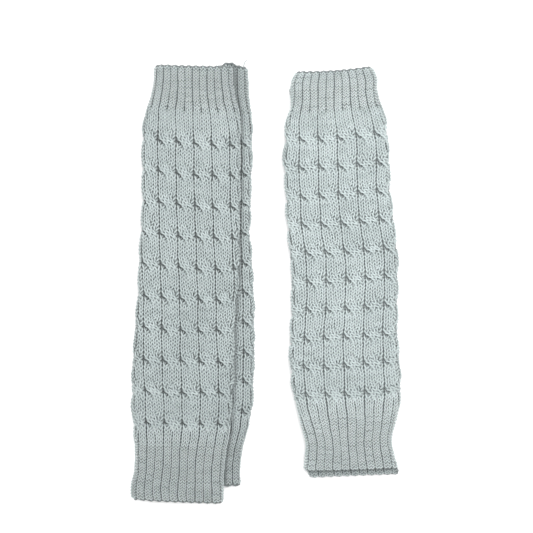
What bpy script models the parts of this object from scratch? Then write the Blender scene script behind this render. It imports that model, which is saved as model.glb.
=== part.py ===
"""Two stacked pairs of cable-knit leg warmers, laid flat side by side.

Each leg warmer is a knitted tube laid flat, in three solids: a rib cuff, a cabled leg and a rib cuff.
Sizes are in millimetres in the tables and functions, and the meshes are in metres.
X runs across the legs, Y runs along them with the top cuffs at +Y, and Z is up from the surface they lie on.
"""
import math

import bmesh
import bpy

MM = 0.001

# The knitted wall
CABLES_ROUND = 11        # cables round one tube; each has two strands, which are two ribs in the cuffs
WALL = 2.1               # thickness of the cloth at the ditches between cables
HOLLOW = 0.6             # left open between the front and the back of a tube laid flat
HALF_THICKNESS = WALL + HOLLOW / 2
CABLE_RISE = 2.0         # how far a cable stands above its ditches
CROSSING_RISE = 0.25     # extra height, as a share of the rise, where one strand lies on the other
EYE_DEPTH = 0.35         # depth of the pit beside each crossing, as a share of the rise
CROSSINGS = 10           # crossings down each cable
GROOVE_BEND = 1.84       # how sharply the groove between two strands swings from ditch to ditch
GROOVE_FLOOR = 0.6       # floor of that groove halfway between crossings, as a share of the rise
GROOVE_DIP = 0.3         # how much deeper it is again where it meets the next crossing
FOLD_RISE = 0.5          # share of the relief left at a side fold; none is left on the underside
FOLD_START = 0.6         # how far up or down the outward direction points where that fading starts and ends
STRAND_SQUARENESS = 3    # power of a strand's rounded top: the higher, the flatter with steeper sides
NARROW_STRAND = 0.25     # a strand narrower than this share of its cable sinks as it passes under the other
SEAM_FADE = 12.0         # the grooves and pits between strands fade in over this distance from a seam

# Shares of a cable's width, and of a swing that goes from -1 at one crossing to 1 at the next
GROOVE_REACH = 0.2       # the raised floor reaches this far to each side of the groove
GROOVE_FILLS = 0.8       # of the swing, before the floor is at its full height
DIP_FROM = 0.4           # the floor sinks again past this swing
EYE_REACH = 0.12         # a pit reaches this far to each side of its ditch
EYE_FROM = 0.6           # and past this swing, up and down

# How the pieces lie
SEAM_GAP = 0.35          # between a cuff and its leg
REST_GAP = 0.35          # between a leg warmer and the one it lies on
SHIFT = (-0.3, -0.3)     # moves the tables' origin to the middle of everything
DROOP_START = 1.5        # an upper one stays level this far past the edge of the lower one
DROOP_WIDTH = 16.0       # and then sinks to the surface over this width

# Columns of points across a cable, as shares of its width: ditch, strand, strand, groove, strand, strand
FINE_COLUMNS = (0.0, 0.14, 0.36, 0.5, 0.64, 0.86)
PLAIN_COLUMNS = (0.0, 0.25, 0.5, 0.75)
INSIDE_COLUMNS = (0.0, 0.05, 0.1, 0.16, 0.24, 0.32, 0.41, 0.5, 0.59, 0.68, 0.76, 0.84, 0.9, 0.95, 1.0)
CUFF_ROWS = 3
CLOSEST_ROWS = 3.0       # an even row of a cuff is left out where it is nearer than this to a closer one
SHORTEST_ROW = 0.3       # a leg's end rows are at least this share of a row from the next
DROOP_ROWS = (-1.5, 2.0, 6.0, 10.0, 14.0)  # rows set past the end of the leg warmer below
INSIDE_ROW_STEP = 4      # the inside of a leg has a row for every fourth row outside
OUT_OF_STEP = 0.6        # metres that a rim edge counts as longer when its ends are a whole turn apart

# Each leg warmer's outline: y along the leg, its left and right edges, and the x of one ditch near its middle.
# crossing_y is the first crossing on the centre line, and crossing_pitch is the distance to the next.
# rise_right is the slope of the rows across the leg, and bow is how far they rise at both folds.
COLUMNS = ("y", "left", "right", "ditch")
LEG_WARMERS = {
    "left_lower": {
        "on": None, "columns": PLAIN_COLUMNS, "underside_columns": 4, "rows_per_crossing": 4,
        "seams": (173.0, -159.0), "crossing_y": 142.0, "crossing_pitch": 30.0,
        "rise_right": 0.0, "bow": 2.0, "fine_cables": (-3.3, 3.3),
        "sections": (
            (219.0, -98.0, -18.5, -58.0),
            (190.0, -100.0, -17.0, -58.5),
            (165.0, -108.0, -14.5, -60.0),
            (130.0, -115.5, -14.0, -61.5),
            (90.0, -116.5, -15.0, -62.0),
            (50.0, -117.0, -16.0, -62.0),
            (0.0, -117.0, -12.8, -61.5),
            (-60.0, -117.0, -11.8, -61.0),
            (-115.0, -116.5, -13.2, -61.0),
            (-145.0, -114.5, -16.5, -61.5),
            (-165.0, -113.0, -22.5, -64.0),
            (-190.0, -112.5, -25.0, -65.5),
            (-206.0, -112.5, -24.0, -65.5),
        ),
    },
    "left_upper": {
        "on": "left_lower", "columns": FINE_COLUMNS, "underside_columns": 8, "rows_per_crossing": 4,
        "seams": (173.0, -160.0), "crossing_y": 142.0, "crossing_pitch": 31.1,
        "rise_right": 0.0, "bow": 3.0, "fine_cables": (-4.1, 2.9),
        "sections": (
            (216.0, -110.5, -33.2, -73.2),
            (200.0, -112.8, -32.8, -73.2),
            (183.0, -115.8, -30.2, -73.0),
            (171.0, -118.8, -26.2, -72.8),
            (153.0, -122.5, -25.8, -72.0),
            (129.0, -124.2, -25.8, -71.8),
            (93.0, -123.8, -26.0, -71.4),
            (57.0, -125.2, -26.8, -70.2),
            (15.0, -127.2, -27.2, -68.8),
            (-12.0, -127.8, -28.8, -67.8),
            (-39.0, -129.8, -31.0, -67.5),
            (-67.0, -132.2, -31.5, -66.8),
            (-93.0, -133.8, -32.2, -65.8),
            (-122.0, -134.5, -34.8, -65.2),
            (-147.0, -132.8, -36.2, -66.2),
            (-167.0, -130.8, -39.8, -68.8),
            (-187.0, -131.2, -42.2, -70.2),
            (-207.0, -135.0, -42.2, -70.8),
            (-220.5, -134.2, -43.0, -70.8),
        ),
    },
    "right_lower": {
        "on": None, "columns": PLAIN_COLUMNS, "underside_columns": 4, "rows_per_crossing": 4,
        "seams": (158.0, -146.0), "crossing_y": 131.0, "crossing_pitch": 28.4,
        "rise_right": 0.05, "bow": 1.0, "fine_cables": (-3.3, 3.3),
        "sections": (
            (198.0, 23.0, 104.5, 64.0),
            (180.0, 26.0, 108.0, 66.0),
            (150.0, 23.5, 116.0, 69.0),
            (120.0, 22.5, 118.5, 70.5),
            (60.0, 24.5, 122.0, 73.0),
            (20.0, 26.5, 125.5, 76.0),
            (-25.0, 27.5, 126.0, 77.0),
            (-70.0, 27.5, 126.5, 77.0),
            (-110.0, 32.0, 127.5, 79.0),
            (-145.0, 39.5, 125.5, 82.0),
            (-175.0, 41.5, 127.0, 84.0),
            (-194.0, 42.5, 131.5, 86.0),
        ),
    },
    "right_upper": {
        "on": "right_lower", "columns": FINE_COLUMNS, "underside_columns": 8, "rows_per_crossing": 4,
        "seams": (174.0, -133.0), "crossing_y": 147.0, "crossing_pitch": 28.4,
        "rise_right": 0.07, "bow": 1.5, "fine_cables": (-3.3, 3.2),
        "sections": (
            (214.0, 30.5, 106.2, 68.2),
            (200.0, 25.2, 111.2, 68.2),
            (189.0, 25.2, 111.2, 68.2),
            (177.0, 24.8, 114.2, 68.4),
            (165.0, 21.2, 118.2, 69.2),
            (147.0, 18.8, 121.2, 71.2),
            (123.0, 17.8, 123.2, 71.8),
            (87.0, 20.2, 124.4, 72.6),
            (51.0, 22.2, 128.6, 75.6),
            (27.0, 25.2, 131.2, 79.0),
            (3.0, 26.2, 132.2, 79.8),
            (-27.0, 25.8, 131.4, 79.0),
            (-57.0, 24.4, 131.8, 77.4),
            (-81.0, 24.8, 133.4, 77.8),
            (-105.0, 27.2, 135.2, 78.8),
            (-123.0, 31.2, 134.2, 80.0),
            (-141.0, 35.4, 130.2, 81.6),
            (-159.0, 40.2, 125.4, 82.4),
            (-173.0, 39.4, 127.6, 83.4),
            (-184.5, 38.2, 131.8, 84.0),
        ),
    },
}

YARN_COLOURS = {"rib": (0.52, 0.58, 0.56, 1.0), "cable": (0.50, 0.57, 0.55, 1.0)}
YARN_ROUGHNESS = 0.95
SHARPEST_CURVE = 60.0    # degrees between faces, past which an edge isn't shaded smooth


def clear_scene():
    for old in list(bpy.data.objects):
        bpy.data.objects.remove(old, do_unlink=True)


def smooth_step(value):
    value = min(max(value, 0.0), 1.0)
    return value * value * (3.0 - 2.0 * value)


def read_section(leg, y, name):
    """Read one column of a leg's outline at y, on a smooth curve through its rows."""
    rows, column = leg["sections"], COLUMNS.index(name)
    y = min(max(y, rows[-1][0]), rows[0][0])
    k = next(i for i in range(len(rows) - 1) if y >= rows[i + 1][0])

    def slope(i):
        before, after = rows[max(i - 1, 0)], rows[min(i + 1, len(rows) - 1)]
        return (after[column] - before[column]) / (after[0] - before[0])

    (y0, v0), (y1, v1) = ((rows[i][0], rows[i][column]) for i in (k, k + 1))
    span = y1 - y0
    t = (y - y0) / span
    return ((2 * t**3 - 3 * t**2 + 1) * v0 + (t**3 - 2 * t**2 + t) * span * slope(k)
            + (3 * t**2 - 2 * t**3) * v1 + (t**3 - t**2) * span * slope(k + 1))


def base_edges(leg, y):
    """The plain tube's edges, inside the measured outline by the relief that a fold keeps."""
    inset = FOLD_RISE * CABLE_RISE
    return read_section(leg, y, "left") + inset, read_section(leg, y, "right") - inset


def row_rise(leg, x, y):
    """How far a row of knitting rises above y at x: it slopes to one side and bows up at both folds."""
    left, right = base_edges(leg, y)
    off_centre = x - (left + right) / 2
    return leg["rise_right"] * off_centre + leg["bow"] * (off_centre / ((right - left) / 2))**2


def droop(leg, x, y):
    """Height of the surface under a leg warmer: the one below it, then down to the ground past its edges."""
    if leg["on"] is None:
        return 0.0
    below = LEG_WARMERS[leg["on"]]
    row = y - row_rise(below, x, y)
    top, bottom = below["sections"][0][0], below["sections"][-1][0]
    past_end = max(row - top, bottom - row, 0.0)
    past_side = max(read_section(below, row, "left") - x, x - read_section(below, row, "right"), 0.0)
    lift = 2 * HALF_THICKNESS + CABLE_RISE * (1 + CROSSING_RISE) + REST_GAP
    return lift * (1.0 - smooth_step((math.hypot(past_end, past_side) - DROOP_START) / DROOP_WIDTH))


def relief(leg, q, y):
    """Height of the cables and ribs over the plain wall, with q counted in cables round the tube.

    The groove between a cable's two strands swings from the ditch on its left at one crossing to the ditch on
    its right at the next, and the strand on each side of it is a rounded ridge as wide as the room it has.
    """
    across = q - math.floor(q)
    count = (leg["crossing_y"] - y) / leg["crossing_pitch"]
    cell = min(max(math.floor(count), -1), CROSSINGS - 1)
    swing = 2 * (count - cell) - 1
    if cell == -1:
        swing = max(swing, 0.0)
    if cell == CROSSINGS - 1:
        swing = min(swing, 0.0)
    swing = min(max(swing, -1.0), 1.0)
    groove = 0.5 + 0.5 * math.copysign(abs(swing)**GROOVE_BEND, swing)
    in_left = across < groove
    width = groove if in_left else 1 - groove
    place = across / groove if in_left else (across - groove) / width
    ridge = 1 - abs(2 * place - 1)**STRAND_SQUARENESS
    crown = min(1.0, width / NARROW_STRAND) * (1 + CROSSING_RISE * smooth_step(2 * width - 1))
    top_seam, bottom_seam = leg["seams"]
    in_leg = smooth_step((top_seam - y) / SEAM_FADE) * smooth_step((y - bottom_seam) / SEAM_FADE)
    floor = GROOVE_FLOOR * smooth_step((swing + 1) / GROOVE_FILLS)
    floor -= GROOVE_DIP * smooth_step((swing - DIP_FROM) / (1 - DIP_FROM))
    floor *= in_leg * smooth_step(1 - abs(across - groove) / GROOVE_REACH)
    near_eye = smooth_step(1 - min(across, 1 - across) / EYE_REACH)
    near_eye *= in_leg * smooth_step((abs(swing) - EYE_FROM) / (1 - EYE_FROM))
    return CABLE_RISE * (max(ridge * crown, floor) - EYE_DEPTH * near_eye)


def section_place(leg, q, y):
    """Find a point of the plain tube: its x, z, outward direction and how far round it is, from 0 to 1."""
    left, right = base_edges(leg, y)
    radius = HALF_THICKNESS
    straight = right - left - 2 * radius
    bend = math.pi * radius
    around = 2 * (straight + bend)
    run = (q / CABLES_ROUND * around + read_section(leg, y, "ditch") - left - radius) % around
    if run < straight:
        return left + radius + run, radius, (0.0, 1.0), run / around
    if run < straight + bend:
        angle = math.pi / 2 - (run - straight) / radius
        return right - radius, 0.0, (math.cos(angle), math.sin(angle)), run / around
    if run < 2 * straight + bend:
        return right - radius - (run - straight - bend), -radius, (0.0, -1.0), run / around
    angle = -math.pi / 2 - (run - 2 * straight - bend) / radius
    return left + radius, 0.0, (math.cos(angle), math.sin(angle)), run / around


def laid_point(leg, x, z, y):
    """Lay a point of the tube on what is under it, at its row's own slope and bow."""
    y = y + row_rise(leg, x, y)
    lifted = z + HALF_THICKNESS + droop(leg, x, y)
    return (x + SHIFT[0]) * MM, (y + SHIFT[1]) * MM, lifted * MM


def outside_ring(leg, y):
    """The ring of outer points at y: close together on the cables that show, further apart underneath."""
    first, last = leg["fine_cables"]
    counts = range(math.floor(first), math.ceil(last) + 1)
    cables = [c + share for c in counts for share in leg["columns"] if first <= c + share <= last]
    room = cables[0] + CABLES_ROUND - cables[-1]
    gaps = leg["underside_columns"] + 1
    cables += [cables[-1] + room * k / gaps for k in range(1, gaps)]
    ring = []
    for q in cables:
        x, z, (nx, nz), share = section_place(leg, q, y)
        on_flat = abs(z) > 0
        lift = relief(leg, q, y) * smooth_step((nz + FOLD_START) / (2 * FOLD_START))
        reach = lift if on_flat else HALF_THICKNESS + lift
        ring.append((share, laid_point(leg, x + nx * reach, z + nz * reach, y)))
    return ring


def inside_ring(leg, y):
    """The ring of inner points at y, plain, with its front and back points at the same places across."""
    left, right = base_edges(leg, y)
    radius = HALF_THICKNESS
    straight = right - left - 2 * radius
    bend = math.pi * radius
    around = 2 * (straight + bend)
    front = [(f * straight, left + radius + f * straight, HOLLOW / 2) for f in INSIDE_COLUMNS]
    back = [(around - bend - f * straight, x, -z) for f, (_, x, z) in zip(INSIDE_COLUMNS, front)]
    right_tip = (straight + bend / 2, right - WALL, 0.0)
    left_tip = (around - bend / 2, left + WALL, 0.0)
    ring = front + [right_tip] + back[::-1] + [left_tip]
    return [(run / around, laid_point(leg, x, z, y)) for run, x, z in ring]


def add_tube_wall(bm, rings):
    """Add the rings' points and the faces between them, and give back the first and last ring.

    Every face is split from its upper left to its lower right, as the cables twist, on the front and the back
    alike, so the two sides of the hollow stay parallel.
    """
    loops = []
    for ring in rings:
        loops.append([(share, bm.verts.new(place)) for share, place in ring])
    for upper, lower in zip(loops, loops[1:]):
        for k in range(len(upper)):
            n = (k + 1) % len(upper)
            a, b, c, d = upper[k][1], upper[n][1], lower[n][1], lower[k][1]
            halves = ((a, b, c), (a, c, d)) if a.co.x < b.co.x else ((a, b, d), (b, c, d))
            for half in halves:
                bm.faces.new(half)
    return loops[0], loops[-1]


def way_across(outer, inner):
    """Length of the edge between a point of each ring, longer where they are not at the same place round."""
    return (outer[1].co - inner[1].co).length + OUT_OF_STEP * abs(outer[0] - inner[0])


def add_rim(bm, outer, inner):
    """Close the end of the wall with triangles, going round both rings by the shorter way across each time."""
    def from_start(ring):
        start = min(range(len(ring)), key=lambda k: ring[k][0])
        turned = ring[start:] + ring[:start]
        return turned + [(1.0 + turned[0][0], turned[0][1])]

    outer, inner = from_start(outer), from_start(inner)
    i = j = 0
    while i < len(outer) - 1 or j < len(inner) - 1:
        if i < len(outer) - 1 and j < len(inner) - 1:
            go_out = way_across(outer[i + 1], inner[j]) <= way_across(outer[i], inner[j + 1])
        else:
            go_out = i < len(outer) - 1
        corner = outer[i + 1][1] if go_out else inner[j + 1][1]
        bm.faces.new((outer[i][1], inner[j][1], corner))
        i, j = (i + 1, j) if go_out else (i, j + 1)


def add_stretch(name, leg, rows, inside_rows, material):
    """Make one stretch of a tube, from its rows' places along the leg."""
    bm = bmesh.new()
    outer_ends = add_tube_wall(bm, [outside_ring(leg, y) for y in rows])
    inner_ends = add_tube_wall(bm, [inside_ring(leg, y) for y in inside_rows])
    for outer, inner in zip(outer_ends, inner_ends):
        add_rim(bm, outer, inner)
    bmesh.ops.recalc_face_normals(bm, faces=bm.faces)
    mesh = bpy.data.meshes.new(name)
    bm.to_mesh(mesh)
    bm.free()
    mesh.materials.append(material)
    mesh.shade_smooth()
    mesh.set_sharp_from_angle(angle=math.radians(SHARPEST_CURVE))
    piece = bpy.data.objects.new(name, mesh)
    bpy.context.scene.collection.objects.link(piece)
    return piece


def cuff_rows(leg, start, end):
    """Rows of a cuff: even ones, and closer ones where it sinks past the end of the leg warmer below."""
    rows = [start + (end - start) * k / CUFF_ROWS for k in range(CUFF_ROWS + 1)]
    if leg["on"] is None:
        return rows
    below = LEG_WARMERS[leg["on"]]["sections"]
    closer = [below[0][0] + past for past in DROOP_ROWS] + [below[-1][0] - past for past in DROOP_ROWS]
    closer = [y for y in closer if end + 1 < y < start - 1]
    kept = [y for y in rows[1:-1] if all(abs(y - other) > CLOSEST_ROWS for other in closer)]
    return sorted([start, end] + kept + closer, reverse=True)


def leg_rows(leg):
    """Rows of the cabled leg: its two ends, and an even number between each crossing and the next."""
    top, bottom = leg["seams"]
    step = leg["crossing_pitch"] / leg["rows_per_crossing"]
    first, last = top - SEAM_GAP / 2, bottom + SEAM_GAP / 2
    start = math.ceil((leg["crossing_y"] - first) / step + SHORTEST_ROW)
    stop = math.ceil((leg["crossing_y"] - last) / step - SHORTEST_ROW)
    return [first] + [leg["crossing_y"] - k * step for k in range(start, stop)] + [last]


def knit_leg_warmer(name, leg, materials):
    top_seam, bottom_seam = leg["seams"]
    hem_top, hem_bottom = leg["sections"][0][0], leg["sections"][-1][0]
    top = cuff_rows(leg, hem_top, top_seam + SEAM_GAP / 2)
    add_stretch(f"{name}_top_rib", leg, top, top, materials["rib"])
    rows = leg_rows(leg)
    inside_rows = rows[:-INSIDE_ROW_STEP:INSIDE_ROW_STEP] + [rows[-1]]
    add_stretch(f"{name}_cabled_leg", leg, rows, inside_rows, materials["cable"])
    bottom = cuff_rows(leg, bottom_seam - SEAM_GAP / 2, hem_bottom)
    add_stretch(f"{name}_bottom_rib", leg, bottom, bottom, materials["rib"])


def yarn_material(name, colour):
    material = bpy.data.materials.new(f"yarn_{name}")
    material.use_nodes = True
    shader = material.node_tree.nodes["Principled BSDF"]
    shader.inputs["Base Color"].default_value = colour
    shader.inputs["Roughness"].default_value = YARN_ROUGHNESS
    shader.inputs["Metallic"].default_value = 0.0
    return material


def main():
    clear_scene()
    materials = {name: yarn_material(name, colour) for name, colour in YARN_COLOURS.items()}
    for name, leg in LEG_WARMERS.items():
        knit_leg_warmer(name, leg, materials)


main()
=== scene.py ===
import math
import bpy
import numpy as np
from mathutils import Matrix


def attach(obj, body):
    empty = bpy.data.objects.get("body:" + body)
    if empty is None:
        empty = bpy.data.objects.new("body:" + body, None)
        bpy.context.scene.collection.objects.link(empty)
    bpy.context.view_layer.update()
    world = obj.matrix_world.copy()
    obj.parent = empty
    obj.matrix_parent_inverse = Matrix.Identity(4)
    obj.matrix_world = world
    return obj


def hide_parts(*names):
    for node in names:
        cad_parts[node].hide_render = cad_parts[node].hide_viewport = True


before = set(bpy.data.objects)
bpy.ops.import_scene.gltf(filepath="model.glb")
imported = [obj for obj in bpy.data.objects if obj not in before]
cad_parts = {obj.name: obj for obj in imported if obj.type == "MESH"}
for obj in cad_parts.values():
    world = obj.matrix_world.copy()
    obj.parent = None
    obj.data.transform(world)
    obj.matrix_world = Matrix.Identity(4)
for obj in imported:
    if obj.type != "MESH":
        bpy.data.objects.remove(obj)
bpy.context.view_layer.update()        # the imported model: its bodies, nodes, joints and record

# Two stacked pairs of cable-knit leg warmers, laid flat. Sizes in the dictionaries are millimetres.
mm = 0.001
chance = np.random.default_rng(11)

cloth = {
    "cablesRound": 11,          # cables round a tube; each has two strands of two wales
    "crossings": 10,            # down a tube's leg
    "rowsPerCrossing": 9,
    "wall": 2.1,                # the plain wall under the stitches
    "hollow": 0.6,              # left open inside a tube that lies flat
    "cableRise": 2.0,           # how far the solids' cables stand up, and so how high an upper tube lies
    "crossingRise": 0.25,       # and by what share more where they cross
    "restGap": 0.35,            # between a lower tube and the one on it
    "levelPast": 1.5,           # an upper tube stays level this far past the edge of the lower one
    "sinkWidth": 16.0,          # and then sinks to the surface over this width
    "foldKeeps": 0.5,           # share of the cables' rise at a fold, over which the outline was measured
    "corner": 4.5,              # a hem's corners are rounded over this length
    "cornerRound": 0.9,         # where 1 would be a whole quarter circle
    "hemBump": 0.5,             # how far a rib's end stands out at a hem
    "bumpReach": 9.0,           # and over what length that fades
    "liftReach": 30.0,          # the length over which a hem's soft peak fades
    "steadyHem": 20.0,          # and the one over which the slow waves along a tube do, towards a hem
    "shift": (-0.3, -0.3),      # from the tables' origin to the frame's
}
cloth["half"] = cloth["wall"] + cloth["hollow"] / 2
cloth["lift"] = 2 * cloth["half"] + cloth["cableRise"] * (1 + cloth["crossingRise"]) + cloth["restGap"]

# "on" names the tube below. "seams" are the places along a tube where its cuffs meet its leg, "pitch" goes
# from crossing to crossing, and "cuffRow" is a row's height in the cuffs.
# "strands" are the half cables that get real stitches, counted from the outline's ditch: those that show.
# "cuffStrands" are the ribs that do, in the top cuff and in the bottom one.
# "hemLift" is the soft peak in the top hem: its x, half width and rise.
# "creases" are soft valleys and swells: x, y, half width, half length and rise.
# "rows" say how a row of knitting lies: y, its slope up to the right, and how far it bows up to both folds.
# "outline" has y, the left and right edges, and the x of one ditch near the middle.
outlineColumns = ("y", "left", "right", "ditch")
legWarmers = {
    "left_lower": {
        "on": None, "seams": (173.0, -159.0), "firstCrossing": 142.0, "pitch": 30.0, "cuffRow": 2.9,
        "strands": (2, 6), "cuffStrands": ((2, 7), (1, 6)),
        "hemLift": (-37.0, 9.0, 5.0),
        "creases": ((-30.0, 186.0, 3.5, 34.0, -1.3),),
        "rows": ((217.0, 0.0, 0.5), (140.0, -0.03, 2.0), (-80.0, -0.02, 2.0), (-206.0, 0.03, 0.5)),
        "outline": (
            (217.0, -98.0, -18.5, -58.0), (190.0, -100.0, -17.0, -58.5), (165.0, -108.0, -14.5, -60.0),
            (130.0, -115.5, -14.0, -61.5), (90.0, -116.5, -15.0, -62.0), (50.0, -117.0, -16.0, -62.0),
            (0.0, -117.0, -12.8, -61.5), (-60.0, -117.0, -11.8, -61.0), (-115.0, -116.5, -13.2, -61.0),
            (-145.0, -114.5, -16.5, -61.5), (-165.0, -113.0, -22.5, -64.0), (-190.0, -112.5, -25.0, -65.5),
            (-206.0, -112.5, -24.0, -65.5),
        ),
    },
    "left_upper": {
        "on": "left_lower", "seams": (174.5, -160.0), "firstCrossing": 142.0, "pitch": 31.1, "cuffRow": 2.9,
        "strands": (-8, 6), "cuffStrands": ((-6, 6), (-8, 4)),
        "hemLift": (0.0, 9.0, 0.0),
        "creases": ((-36.0, 165.0, 5.0, 22.0, -0.7), (-60.0, -205.0, 7.0, 12.0, -0.5)),
        "rows": (
            (217.0, -0.025, 0.5), (140.0, -0.085, 2.5), (20.0, -0.075, 2.5), (-70.0, -0.03, 1.5),
            (-150.0, -0.01, 0.8), (-220.0, -0.045, 0.3),
        ),
        "outline": (
            (217.5, -112.0, -33.2, -73.2), (200.0, -112.2, -32.8, -73.2), (183.0, -115.2, -30.2, -73.0),
            (171.0, -118.8, -26.2, -72.8), (153.0, -122.5, -25.8, -72.0), (129.0, -124.2, -25.8, -71.8),
            (93.0, -123.8, -26.0, -71.4), (57.0, -125.2, -26.8, -70.2), (15.0, -127.2, -27.2, -68.8),
            (-12.0, -127.8, -28.8, -67.8), (-39.0, -129.8, -31.0, -67.5), (-67.0, -132.2, -31.5, -66.8),
            (-93.0, -133.8, -32.2, -65.8), (-122.0, -134.5, -34.8, -65.2), (-147.0, -132.8, -36.2, -66.2),
            (-167.0, -130.8, -39.8, -68.8), (-187.0, -131.2, -42.2, -70.2), (-207.0, -135.0, -42.2, -70.8),
            (-220.5, -134.2, -43.0, -70.8),
        ),
    },
    "right_lower": {
        "on": None, "seams": (158.0, -146.0), "firstCrossing": 131.0, "pitch": 28.4, "cuffRow": 2.7,
        "strands": (-6, -4), "cuffStrands": ((-7, -4), (-7, 7)),
        "hemLift": (0.0, 9.0, 0.0),
        "creases": (),
        "rows": ((100.0, 0.05, 1.0), (-194.0, 0.04, 0.0)),
        "outline": (
            (198.0, 23.0, 104.5, 64.0), (180.0, 26.0, 108.0, 66.0), (150.0, 23.5, 116.0, 69.0),
            (120.0, 22.5, 118.5, 70.5), (60.0, 24.5, 122.0, 73.0), (20.0, 26.5, 125.5, 76.0),
            (-25.0, 27.5, 126.0, 77.0), (-70.0, 27.5, 126.5, 77.0), (-110.0, 32.0, 127.5, 79.0),
            (-145.0, 39.5, 125.5, 82.0), (-175.0, 41.5, 127.0, 84.0), (-194.0, 42.5, 135.0, 86.0),
        ),
    },
    "right_upper": {
        "on": "right_lower", "seams": (175.0, -133.0), "firstCrossing": 147.0, "pitch": 28.4, "cuffRow": 2.7,
        "strands": (-7, 7), "cuffStrands": ((-7, 7), (-7, 7)),
        "hemLift": (0.0, 9.0, 0.0),
        "creases": (
            (31.5, 193.0, 4.0, 24.0, -0.9), (24.5, 190.0, 3.5, 24.0, 0.8), (47.0, -161.0, 4.5, 24.0, -1.0),
            (39.5, -160.0, 4.0, 24.0, 0.9), (121.0, -165.0, 5.0, 20.0, -0.5),
        ),
        "rows": ((-130.0, 0.07, 1.5), (-187.0, 0.03, 0.5)),
        "outline": (
            (214.0, 30.5, 106.2, 68.2), (200.0, 25.2, 111.2, 68.2), (189.0, 25.2, 111.2, 68.2),
            (177.0, 24.8, 114.2, 68.4), (165.0, 21.2, 118.2, 69.2), (147.0, 18.8, 121.2, 71.2),
            (123.0, 17.8, 123.2, 71.8), (87.0, 20.2, 124.4, 72.6), (51.0, 22.2, 128.6, 75.6),
            (27.0, 25.2, 131.2, 79.0), (3.0, 26.2, 132.2, 79.8), (-27.0, 25.8, 131.4, 79.0),
            (-57.0, 24.4, 131.8, 77.4), (-81.0, 24.8, 133.4, 77.8), (-105.0, 27.2, 135.2, 78.8),
            (-123.0, 31.2, 134.2, 80.0), (-141.0, 35.4, 130.2, 81.6), (-159.0, 40.2, 125.4, 82.4),
            (-173.0, 39.4, 127.6, 83.4), (-187.0, 37.6, 132.4, 84.0),
        ),
    },
}


def smooth(value):
    # 0 below 0, 1 above 1, and a soft step between
    value = np.clip(value, 0.0, 1.0)
    return value * value * (3.0 - 2.0 * value)


def fades(off, near, far):
    # 1 within the distance near on either side, 0 beyond far
    return smooth((far - np.abs(off)) / (far - near))


def stepFrom(value, startAndLength):
    # 0 before the start, 1 from a length past it on
    start, length = startAndLength
    return smooth((value - start) / length)


# How a tube lies. Places round it are counted in cables from its ditch, "q", and y is along it.

def hems(leg):
    return leg["outline"][0][0], leg["outline"][-1][0]


def readOutline(leg, y, name):
    # a cubic through the outline's rows, each row's slope being that of the line between its neighbours
    rows = np.array(leg["outline"])[::-1]
    ys, values = rows[:, 0], rows[:, outlineColumns.index(name)]
    last = len(ys) - 1
    before, after = np.maximum(np.arange(last + 1) - 1, 0), np.minimum(np.arange(last + 1) + 1, last)
    slope = (values[after] - values[before]) / (ys[after] - ys[before])
    y = np.clip(y, ys[0], ys[-1])
    k = np.clip(np.searchsorted(ys, y, side="right") - 1, 0, last - 1)
    span = ys[k + 1] - ys[k]
    t = (y - ys[k]) / span
    return ((2 * t**3 - 3 * t**2 + 1) * values[k] + (t**3 - 2 * t**2 + t) * span * slope[k]
            + (3 * t**2 - 2 * t**3) * values[k + 1] + (t**3 - t**2) * span * slope[k + 1])


def plainEdges(leg, y):
    # the plain wall's edges; at the hems its corners are rounded by most of a quarter circle
    top, bottom = hems(leg)
    corner = np.clip(1 - np.minimum(top - y, y - bottom) / cloth["corner"], 0, 1)
    rounding = cloth["corner"] * (1 - np.sqrt(1 - cloth["cornerRound"] * corner**2))
    inset = cloth["foldKeeps"] * cloth["cableRise"] + rounding
    return readOutline(leg, y, "left") + inset, readOutline(leg, y, "right") - inset


def rowRise(leg, x, y):
    # a row of knitting slopes to one side and bows up towards both folds
    left, right = plainEdges(leg, y)
    off = x - (left + right) / 2
    heights, slopes, bows = np.array(leg["rows"])[::-1].T
    return np.interp(y, heights, slopes) * off + np.interp(y, heights, bows) * (off / ((right - left) / 2))**2


def heightUnder(leg, x, y):
    # the top of the tube below, then a smooth step down to the surface past its edges
    if leg["on"] is None:
        return np.zeros(np.broadcast(x, y).shape)
    below = legWarmers[leg["on"]]
    row = y - rowRise(below, x, y)
    top, bottom = hems(below)
    pastEnd = np.maximum(np.maximum(row - top, bottom - row), 0.0)
    left, right = readOutline(below, row, "left"), readOutline(below, row, "right")
    pastSide = np.maximum(np.maximum(left - x, x - right), 0.0)
    past = np.hypot(pastEnd, pastSide)
    return cloth["lift"] * (1.0 - smooth((past - cloth["levelPast"]) / cloth["sinkWidth"]))


def aroundTube(leg, q, y):
    # a flat tube's section is two straight runs and two half circles; gives a centre and an outward direction
    left, right = plainEdges(leg, y)
    radius = cloth["half"]
    straight = right - left - 2 * radius
    bend = math.pi * radius
    around = 2 * (straight + bend)
    run = np.mod(q / cloth["cablesRound"] * around + readOutline(leg, y, "ditch") - left - radius, around)
    angle = np.where(run < straight, np.pi / 2, np.pi / 2 - (run - straight) / radius)
    angle = np.where(run >= straight + bend, -np.pi / 2, angle)
    angle = np.where(run >= 2 * straight + bend, -np.pi / 2 - (run - 2 * straight - bend) / radius, angle)
    centre = np.where(run < straight, left + radius + run, right - radius)
    centre = np.where(run >= straight + bend, right - radius - (run - straight - bend), centre)
    centre = np.where(run >= 2 * straight + bend, left + radius, centre)
    return centre, np.cos(angle), np.sin(angle)


def cableWidth(leg, y):
    # the way all round the plain wall, shared out to the cables
    left, right = plainEdges(leg, y)
    around = 2 * (right - left - 2 * cloth["half"] + math.pi * cloth["half"])
    return around / cloth["cablesRound"]


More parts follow.
